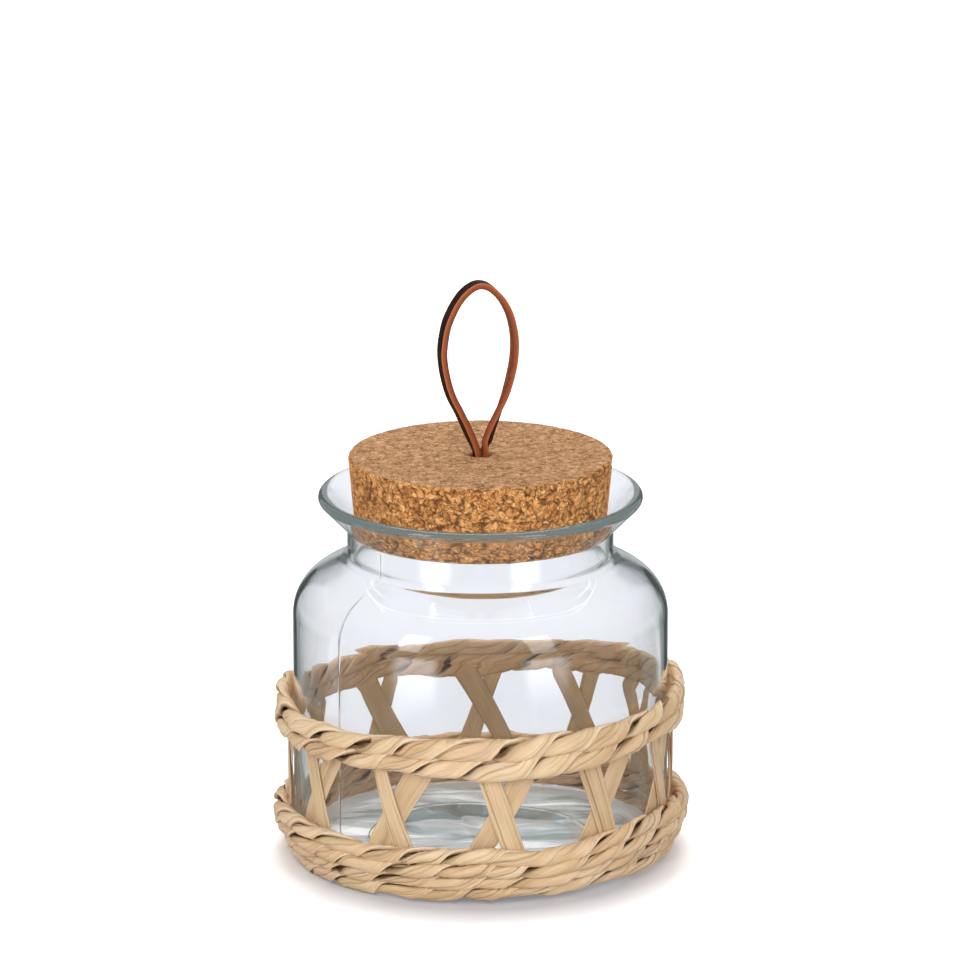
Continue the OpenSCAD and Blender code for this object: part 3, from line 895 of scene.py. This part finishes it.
def make_knot():
    """An overhand knot of both strap ends under the cork, with two short tails."""
    low, high = (np.array(corner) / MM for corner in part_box("strap_knot"))
    cork_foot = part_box("cork_lid")[0][2] / MM
    t = np.linspace(0, TAU, 120, endpoint=False)
    middle = np.array([0, 0, cork_foot - 4.4])
    spread = KNOT_R / 2.6
    path = middle + np.stack([
        spread * (np.sin(t) + 1.7 * np.sin(2 * t)),
        spread * (np.cos(t) - 1.7 * np.cos(2 * t)),
        -KNOT_H * np.sin(3 * t)], -1)
    tangent = np.roll(path, -1, 0) - np.roll(path, 1, 0)
    tangent /= np.linalg.norm(tangent, axis=1)[:, None]
    up = np.array([0, 0, 1.0])
    side = np.cross(tangent, up)
    side /= np.linalg.norm(side, axis=1)[:, None]
    lift = np.cross(side, tangent)
    b = np.linspace(0, TAU, 16, endpoint=False)
    rings = (path[:, None, :] + 2.2 * np.cos(b)[None, :, None] * side[:, None, :]
             + 1.15 * np.sin(b)[None, :, None] * lift[:, None, :])
    grain = np.stack(np.broadcast_arrays(t[:, None] * 7, 2 * np.cos(b)[None, :], 1.0 * np.sin(b)[None, :]), -1)
    knot = build_mesh("strap_knot_tied", rings, skin_faces(rings, closed=True), "strap", "leather",
                      {"grain": grain * MM})
    knot.data.materials.append(leather_flesh())
    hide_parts("strap_knot")
    tails = [
        [(1.0, -1.0, -4.0), (5.0, -2.0, -5.0), (9.0, -3.4, -6.8), (12.0, -4.5, -10.0)],
        [(-1.0, 1.0, -4.5), (-5.0, 2.0, -5.5), (-9.0, 3.0, -7.0), (-11.5, 3.8, -9.5)],
    ]
    outline, kinds = strap_section()
    for number, tail in enumerate(tails, 1):
        line = through(tail, 8) + np.array([0, 0, cork_foot])
        along = np.gradient(line, axis=0)
        along /= np.linalg.norm(along, axis=1)[:, None]
        flat = np.cross(along, up)
        flat /= np.linalg.norm(flat, axis=1)[:, None]
        over = np.cross(flat, along)
        rings = (line[:, None, :] + outline[None, :, :1] * flat[:, None, :]
                 + outline[None, :, 1:] * over[:, None, :])
        count, around = rings.shape[:2]
        travel = np.arange(count) * 0.6
        grain = np.stack(np.broadcast_arrays(travel[:, None], outline[None, :, 0], outline[None, :, 1]), -1)
        piece = build_mesh(f"strap_tail_{number}", rings, skin_faces(rings), "strap", "leather",
                           {"grain": grain * MM})
        for material in ("leather_grain", "leather_edge", "leather_flesh"):
            piece.data.materials.append(bpy.data.materials[material])
        side_kind = [kinds[j] if kinds[j] == kinds[(j + 1) % around] else 1 for j in range(around)]
        slots = [side_kind[j] for _ in range(count - 1) for j in range(around)] + [1, 1]
        piece.data.polygons.foreach_set("material_index", slots)


# Woven cage

COURSE_T = 4.2
# The leaf passes inside the strips too, between them and the glass
STRIP_COVER = 1.7
HALF_TWISTS = 26
STRAND_RINGS = 660
# Middle height and height of the upper band at turns round the jar
TOP_BAND = [
    (0, 57.2, 14.7), (23, 57.7, 14.0), (36, 58.0, 14.5), (52, 59.0, 12.0), (80, 60.0, 12.0),
    (100, 60.4, 13.0), (114, 59.2, 12.7), (129, 57.7, 11.5), (140, 56.1, 11.0), (154, 55.5, 11.0),
    (168, 54.2, 13.0), (177, 53.2, 15.5), (190, 52.7, 15.0), (205, 52.9, 11.0), (220, 53.4, 11.5),
    (241, 53.6, 13.3), (259, 56.0, 13.5), (276, 55.9, 13.5), (296, 55.0, 11.9), (320, 56.1, 12.1),
    (337, 57.3, 12.2),
]
# Lower and upper edge of the base band at turns round the jar
BASE_BAND = [
    (0, 2.8, 22.9), (14, 3.0, 20.6), (24, 3.2, 20.6), (36, 3.7, 23.0), (55, 3.6, 25.0), (70, 2.4, 24.2),
    (90, 2.0, 23.5), (130, 1.6, 21.4), (180, 1.6, 21.6), (230, 1.4, 21.0), (270, 0.9, 20.3),
    (300, 0.6, 21.3), (322, 1.6, 20.6), (332, 2.0, 19.9), (346, 2.4, 22.2),
]
# Outward tilt of each base course, from the lowest up
BASE_TILTS = (34, 14, 2, 0)
# Outward swell of the base band at turns round the jar
BASE_SWELL = [(0, 0.2), (40, 0.3), (75, 1.0), (90, 1.2), (120, 0.4), (180, 0.2), (250, 0.3), (275, 0.8), (310, 0.2)]


def outline(s, half_t, half_h):
    """A place on a course's rounded outline, and the direction square to it there, each (out, up).

    s is 0 at the outermost place, grows upwards, and is 1 or -1 at the innermost one."""
    straight = np.maximum(half_h - half_t, 0.01)
    q = np.abs(s) * (2 * straight + math.pi * half_t)
    angle = np.clip((q - straight) / half_t, 0, math.pi)
    beyond = np.maximum(q - straight - math.pi * half_t, 0)
    up = np.where(q < straight, q, straight + half_t * np.sin(angle)) - beyond
    sign = np.where(s < 0, -1, 1)
    place = np.stack([half_t * np.cos(angle), sign * up], -1)
    square = np.stack([np.cos(angle), sign * np.sin(angle)], -1)
    return place, square


def waves(rng, theta, *parts):
    """A sum of sine waves round the jar. Each part is (height, waves per turn)."""
    return sum(high * np.sin(count * theta + rng.uniform(0, TAU)) for high, count in parts)


LEAF_U = np.concatenate([[-1, -0.965, -0.92], np.linspace(-0.86, 0.86, 24), [0.93, 1]])
CORE_U = np.linspace(0.9, -0.9, 5)
CORE_SHARE = 0.35
TWIST_SNAP = 0.5


def make_strand(name, node, strand, course, rng):
    """One of the two leaf strands twisted round each other in a course.

    course gives middle radius, middle height, half height and tilt at a turn, half thickness and phase."""
    radius_at, z_at, half_h_at, tilt_at, half_t, phase = course
    turns = np.arange(STRAND_RINGS) * 360 / STRAND_RINGS
    theta = np.radians(turns)
    lag = waves(rng, theta, (0.11, 5), (0.09, 8), (0.06, 13), (0.03, 23))
    centre = HALF_TWISTS / 2 * theta / math.pi + phase + strand + lag
    # each stretch crosses the middle of the course steeply, and its two tips lie flatter
    centre = centre - TWIST_SNAP * np.sin(TAU * (centre - 0.04)) / TAU
    stretch = np.floor((centre + 1) / 2).astype(int)
    c = centre - 2 * stretch
    weight = 1 - smoothstep((np.abs(c) - 0.62) / 0.38)
    stretch = (stretch - stretch.min()) % (HALF_TWISTS // 2)

    def varied(low, high):
        """A value that changes from one outside stretch of the strand to the next."""
        values = rng.uniform(low, high, HALF_TWISTS // 2)
        middle = (low + high) / 2
        return (middle + weight * (values[stretch] - middle))[:, None]

    spread = varied(0.51, 0.62)
    centre_shift = varied(-0.07, 0.07)
    slant = varied(-0.06, 0.04)
    tall = varied(1.0, 1.28)
    proud = varied(-0.45, 0.30)
    lap = varied(0.8, 1.25)
    crown = varied(0.45, 1.0)
    tip = varied(0.0, 0.7)
    crumple = varied(0.0, 1.0) ** 2
    tone = varied(0.0, 1.0)
    folds = [(varied(-0.75, 0.0), varied(0.05, 0.55)), (varied(-0.1, 0.7), varied(0.0, 0.45))]

    u = LEAF_U[None, :]
    s = centre[:, None] + centre_shift + slant * np.sin(math.pi * c)[:, None] + u * spread
    s = (s + 1) % 2 - 1
    half_h = half_h_at(turns)[:, None] * tall
    place, square = outline(s, half_t, half_h)
    sink = lap * ((u + 1) / 2) ** 1.3 + 1.1 * smoothstep((u - 0.6) / 0.4)
    face = proud - sink + crown * (1 - u**2)
    face += tip * smoothstep((-u - 0.5) / 0.5) * (0.3 + 0.7 * smoothstep((c - 0.05) / 0.4))[:, None]
    crease = np.zeros_like(face)
    for fold, size in folds:
        edge = fold + 0.03 * waves(rng, theta, (1, 31), (0.6, 53))[:, None]
        face -= size * smoothstep((u - edge) / 0.06) * (1 - 0.7 * smoothstep((u - edge - 0.1) / 0.5))
        crease += np.exp(-(((u - edge - 0.05) / 0.05) ** 2)) * size / 0.34
    fine = sum(high * np.sin(count * theta[:, None] + twist * u + rng.uniform(0, TAU))
               for high, count, twist in ((0.05, 47, 3), (0.04, 83, -6), (0.03, 131, 8)))
    rough = sum(high * np.sin(count * theta[:, None] + twist * u + rng.uniform(0, TAU))
                for high, count, twist in ((0.12, 190, 5), (0.10, 263, -9), (0.08, 317, 13)))
    face += fine + rough * crumple
    outer = place + square * face[..., None]
    core_s = (centre[:, None] + centre_shift + CORE_U[None, :] * spread + 1) % 2 - 1
    core = outline(core_s, half_t, half_h)[0] * CORE_SHARE
    section = np.concatenate([outer, core], 1)

    outer_sway = waves(rng, theta, (0.16, 11), (0.16, 19))[:, None]
    upward_sway = waves(rng, theta, (0.22, 9), (0.22, 15), (0.16, 27))[:, None]
    tilt = np.radians(tilt_at(turns))[:, None]
    r = radius_at(turns)[:, None] + outer_sway + section[..., 0] * np.cos(tilt) + section[..., 1] * np.sin(tilt)
    height = z_at(turns)[:, None] + upward_sway - section[..., 0] * np.sin(tilt) + section[..., 1] * np.cos(tilt)
    rings = on_axis(turns[:, None], r, height)

    cells = (STRAND_RINGS, len(LEAF_U) + len(CORE_U))
    across = np.broadcast_to(np.concatenate([LEAF_U, CORE_U]) * 4.6, cells)
    seed = np.broadcast_to(tone * 160 + strand * 90 + phase * 70, cells)
    round_x = 74 * np.cos(theta)[:, None] + seed
    round_y = 74 * np.sin(theta)[:, None] + 0.7 * seed
    grain = np.stack([round_x, round_y, across], -1) * MM
    # painted shade: the hidden core, the side of each leaf that goes under the next, and its creases are darker
    core_dark = np.full((STRAND_RINGS, len(CORE_U)), 0.9)
    dark = np.clip(0.22 * smoothstep((u - 0.05) / 0.6) + smoothstep((u - 0.55) / 0.38) + 0.55 * crease, 0, 1)
    # painted highlight: paler along the free edge of each leaf and along its first fold
    edge = np.exp(-(((u + 0.97) / 0.05) ** 2)) + 0.5 * np.exp(-(((u - folds[0][0] + 0.03) / 0.04) ** 2)) * folds[0][1] / 0.34
    # the side that faces the glass gets painted shade in the material
    inside = np.concatenate([smoothstep((np.abs(s) - 0.52) / 0.2), core_dark * 0 + 1], 1)
    attributes = {
        "inside": inside,
        "grain": grain,
        "painted_shade": np.concatenate([dark, core_dark], 1),
        "edge": np.concatenate([np.clip(edge, 0, 1), core_dark * 0], 1),
        "tone": np.broadcast_to(tone, cells),
    }
    piece = build_mesh(name, rings, skin_faces(rings, closed=True), "jar", "leaf_twine", attributes)
    piece.data.materials.append(bpy.data.materials["twined_leaf"])
    if strand == 0:
        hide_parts(node)


def make_courses():
    leaf_material("twined_leaf", [
        (0.22, (0.60, 0.375, 0.185)), (0.42, (0.74, 0.51, 0.295)), (0.60, (0.82, 0.60, 0.375)),
        (0.8, (0.90, 0.71, 0.49))], (0.80, 0.64, 0.50))
    rng = np.random.default_rng(11)
    middle = ring_curve([(turn, z) for turn, z, _ in TOP_BAND])
    height = ring_curve([(turn, h) for turn, _, h in TOP_BAND])
    low, high = (np.array(c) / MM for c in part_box("top_course_1"))
    top_t = COURSE_T + STRIP_COVER
    top_r = (high[0] - low[0]) / 2 - top_t / 2
    for number, side in ((1, -1), (2, 1)):
        wave = ring_curve([(t, rng.uniform(-0.35, 0.35)) for t in range(0, 360, 15)])
        course = (
            lambda t, wave=wave: top_r + wave(t),
            lambda t, side=side: middle(t) + side * height(t) / 4,
            lambda t: height(t) / 4,
            lambda t: 0 * t,
            top_t / 2,
            0.15 + 0.55 * number,
        )
        make_course(f"top_course_{number}", course, rng)

    foot = ring_curve([(turn, low) for turn, low, _ in BASE_BAND])
    head = ring_curve([(turn, high) for turn, _, high in BASE_BAND])
    swell = ring_curve(BASE_SWELL)
    for number, tilt in enumerate(BASE_TILTS, 1):
        low, high = (np.array(c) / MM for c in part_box(f"base_course_{number}"))
        course_t = COURSE_T + (STRIP_COVER if number > 2 else 0)
        course_r = (high[0] - low[0]) / 2 - course_t / 2
        wave = ring_curve([(t, rng.uniform(-0.35, 0.35)) for t in range(0, 360, 15)])
        course = (
            lambda t, r=course_r, wave=wave, n=number: r + wave(t) + swell(t) * n / 4,
            lambda t, n=number: foot(t) + (head(t) - foot(t)) * (n - 0.5) / 4,
            lambda t: (head(t) - foot(t)) / 8,
            lambda t, tilt=tilt: tilt + 0 * t,
            course_t / 2,
            0.3 + 0.73 * number,
        )
        make_course(f"base_course_{number}", course, rng)


def make_course(node, course, rng):
    for strand in (0, 1):
        make_strand(f"{node}_strand_{strand + 1}", node, strand, course, rng)


def leaf_material(name, stops, inner_side_shade):
    """Dried leaf: long fibres and cloudy tans, with painted shade where one leaf goes under another, in folds and on
    the side that faces the glass, and painted highlights along edges.

    The grain attribute runs along the leaf in its first two parts, and across it in the third."""
    material, tree = new_material(name)
    grain = attribute(tree, "grain", "Vector")
    tone = attribute(tree, "tone")
    painted_shade = attribute(tree, "painted_shade")
    edge = attribute(tree, "edge")
    cloud = noise_value(tree, scaled(tree, grain, (55, 55, 330)), detail=2.0)
    shade = math_node(tree, "ADD", math_node(tree, "MULTIPLY", cloud, 0.75),
                      math_node(tree, "MULTIPLY", tone, 0.25))
    colour = ramp(tree, shade, stops)
    hue = noise_value(tree, scaled(tree, grain, (30, 30, 120)))
    colour = mix_colour(tree, map_range(tree, hue, 0.54, 0.72, 0.0, 0.45), colour, (0.72, 0.56, 0.27))
    colour = mix_colour(tree, map_range(tree, hue, 0.46, 0.30, 0.0, 0.45), colour, (0.85, 0.56, 0.38))
    fibre = noise_value(tree, scaled(tree, grain, (34, 34, 2900)), detail=3.0, roughness=0.6)
    line = map_range(tree, fibre, 0.56, 0.70)
    colour = mix_colour(tree, math_node(tree, "MULTIPLY", line, 0.5), colour, (0.45, 0.26, 0.115))
    pale = map_range(tree, fibre, 0.42, 0.30)
    colour = mix_colour(tree, math_node(tree, "MULTIPLY", pale, 0.45), colour, (0.95, 0.80, 0.60))
    # painted shade along fold lines, which also sink in the bump
    fold = map_range(tree, noise_value(tree, scaled(tree, grain, (16, 16, 900)), detail=1.0), 0.63, 0.68)
    colour = mix_colour(tree, math_node(tree, "MULTIPLY", fold, 0.32), colour, (0.36, 0.20, 0.09))
    # painted highlight along the edges
    colour = mix_colour(tree, math_node(tree, "MULTIPLY", edge, 0.55), colour, (0.97, 0.84, 0.64))
    # painted shade where one leaf goes under another, in creases and on hidden parts
    colour = mix_colour(tree, math_node(tree, "MULTIPLY", painted_shade, 0.92), colour, (0.15, 0.075, 0.028))
    # painted shade: the side that faces the glass is darker and browner
    colour = mix_colour(tree, attribute(tree, "inside"), colour, inner_side_shade, blend="MULTIPLY")
    wrinkle = noise_value(tree, scaled(tree, grain, (420, 420, 1100)), detail=3.0)
    height = math_node(tree, "ADD", fibre, math_node(tree, "MULTIPLY", wrinkle, 0.7))
    height = math_node(tree, "SUBTRACT", height, math_node(tree, "MULTIPLY", fold, 0.6))
    normal = bump(tree, height, 0.8, 0.00026)
    shader = add_node(
        tree, "ShaderNodeBsdfPrincipled",
        {"Base Color": colour, "Roughness": map_range(tree, wrinkle, 0.3, 0.7, 0.36, 0.55),
         "Specular IOR Level": 0.5, "Normal": normal})
    finish_material(tree, shader.outputs[0])


STRIP_RINGS = 64
STRIP_T = 0.7
INTO_BAND = 2.1
HEAD_IN_BAND = 12.5
FOOT_IN_BAND = 8.5
# Strips that the photographed side shows, by the number of their cross and their side:
# how far the strip is turned from its node, its width at the head, and its width at the foot
SEEN_STRIPS = {
    "strip_left_1": (-1.6, 7.4, 8.0),
    "strip_right_1": (-1.5, 8.8, 8.0),
    "strip_left_2": (-2.0, 8.8, 8.2),
    "strip_right_2": (0.2, 8.9, 7.4),
    "strip_left_11": (0.3, 8.0, 8.0),
    "strip_right_11": (1.7, 9.0, 9.0),
    "strip_left_12": (-1.2, 5.6, 7.7),
    "strip_right_12": (0.8, 10.4, 9.1),
}


def strip_course(node):
    """Foot height, head height, and the turns of the foot and of the head, of a strip's node."""
    points = cad_points(node)
    z = points[:, 2]
    foot_turn = turn_of(points[z < z.min() + 0.5].mean(0))
    head_turn = turn_of(points[z > z.max() - 0.5].mean(0))
    swing = (head_turn - foot_turn + 180) % 360 - 180
    middle_r = np.hypot(points[:, 0], points[:, 1])
    return z.min(), z.max(), foot_turn, swing, (middle_r.min() + middle_r.max()) / 2


def make_strip(node, rng):
    """A flat leaf strip with creases along it, where the node lies."""
    foot, top, foot_turn, swing, middle_r = strip_course(node)
    left = node.startswith("strip_left")
    usual = (0.0, rng.uniform(6, 8), rng.uniform(6.5, 8)) if left else (0.0, rng.uniform(8, 9.5), rng.uniform(7, 9))
    turned, head_w, foot_w = SEEN_STRIPS.get(node, usual)
    t = np.linspace(0, 1, STRIP_RINGS)
    z = foot + (top - foot) * t
    lean = np.clip((z - 21) / 28.5, 0, 1)
    turn = foot_turn + turned + swing * lean + rng.uniform(-0.5, 0.5) * np.sin(math.pi * lean)
    out = middle_r - 0.05 + 0.2 * np.sin(math.pi * lean) * rng.uniform(0, 1)
    # both ends go into the middle of the bands
    out = out + INTO_BAND * smoothstep((z - top + HEAD_IN_BAND) / 3)
    out = out + INTO_BAND * smoothstep((foot + FOOT_IN_BAND - z) / 3)
    path = on_axis(turn, out, z)
    along = np.gradient(path, axis=0)
    along /= np.linalg.norm(along, axis=1)[:, None]
    side = np.cross(on_axis(turn, 1.0, 0.0), along)
    side /= np.linalg.norm(side, axis=1)[:, None]
    front = np.cross(along, side)

    v = np.linspace(-1, 1, 31)[None, :]
    depth = np.zeros((STRIP_RINGS, v.size))
    dark = np.zeros_like(depth)
    # a left strip is folded along one or both edges, and a right one lies nearly flat
    fold_places = [rng.uniform(-0.85, -0.5), rng.uniform(0.45, 0.8)] if left else [rng.uniform(-0.6, 0.6)]
    for place in fold_places:
        drift = place + 0.07 * np.sin(t * rng.uniform(1, 3) + rng.uniform(0, TAU))[:, None]
        size = rng.uniform(0.14, 0.34) if left else rng.uniform(0.03, 0.14)
        depth += size * smoothstep((v - drift) / 0.05) - size * smoothstep((v - drift - 0.10) / 0.30)
        dark += np.exp(-(((v - drift - 0.05) / 0.04) ** 2)) * size / 0.28
    swell = 1 + 0.05 * np.sin(t * rng.uniform(2, 5) + rng.uniform(0, TAU))
    half = ((foot_w + (head_w - foot_w) * lean) / 2 * swell)[:, None]
    face = STRIP_T / 2 + 0.12 * (1 - v**2) - depth
    face = face * (1 - 0.5 * smoothstep((np.abs(v) - 0.88) / 0.12))
    v_back = np.linspace(1, -1, 9)[None, :]
    back = -STRIP_T / 2 * (1 - 0.6 * smoothstep((np.abs(v_back) - 0.8) / 0.2)) + 0 * half
    across = np.concatenate([v * half, v_back * half], 1)
    lift = np.concatenate([face, back], 1)
    rings = path[:, None, :] + across[..., None] * side[:, None, :] + lift[..., None] * front[:, None, :]

    length = np.broadcast_to((t * (top - foot))[:, None], across.shape)
    grain = np.stack([length, np.full(across.shape, rng.uniform(0, 900)), across], -1) * MM
    # painted highlight along both edges of the strip
    pale = np.exp(-(((np.abs(v) - 0.97) / 0.03) ** 2)) + 0 * half
    # painted shade: darker in the creases, and a little on the back
    shade = np.concatenate([np.clip(dark * 0.9, 0, 1), np.full(back.shape, 0.2)], 1)
    attributes = {
        "inside": np.concatenate([v * 0 + 0 * half, np.ones(back.shape)], 1),
        "grain": grain,
        "painted_shade": shade,
        "edge": np.concatenate([pale * 0.7, back * 0], 1),
        "tone": np.full(across.shape, rng.uniform(0, 1)),
    }
    piece = build_mesh(f"{node}_leaf", rings, skin_faces(rings), "jar", "leaf_strip", attributes)
    piece.data.materials.append(bpy.data.materials["flat_leaf"])
    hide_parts(node)


def make_strips():
    leaf_material("flat_leaf", [
        (0.25, (0.54, 0.365, 0.195)), (0.45, (0.65, 0.455, 0.265)), (0.62, (0.72, 0.52, 0.315)),
        (0.8, (0.79, 0.60, 0.39))], (0.95, 0.82, 0.66))
    rng = np.random.default_rng(5)
    for node in sorted(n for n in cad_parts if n.startswith("strip_")):
        make_strip(node, rng)


make_camera()
make_floor()
make_world()
make_softbox("top_back", 180, 62, 1.6, (1.0, 1.0), 9.5)
make_softbox("front_left", -44, 24, 1.6, (0.40, 1.1), 4.4)
make_softbox("front_right", 38, 24, 1.6, (0.44, 1.1), 3.9)
front_fill = make_softbox("front_fill", -4, 30, 1.8, (0.8, 0.8), 8.2)
front_fill.visible_glossy = False
front_fill.visible_transmission = False
make_glass()
make_cork()
make_strap()
make_knot()
make_courses()
make_strips()

scene = bpy.context.scene
scene.view_settings.view_transform = "Standard"
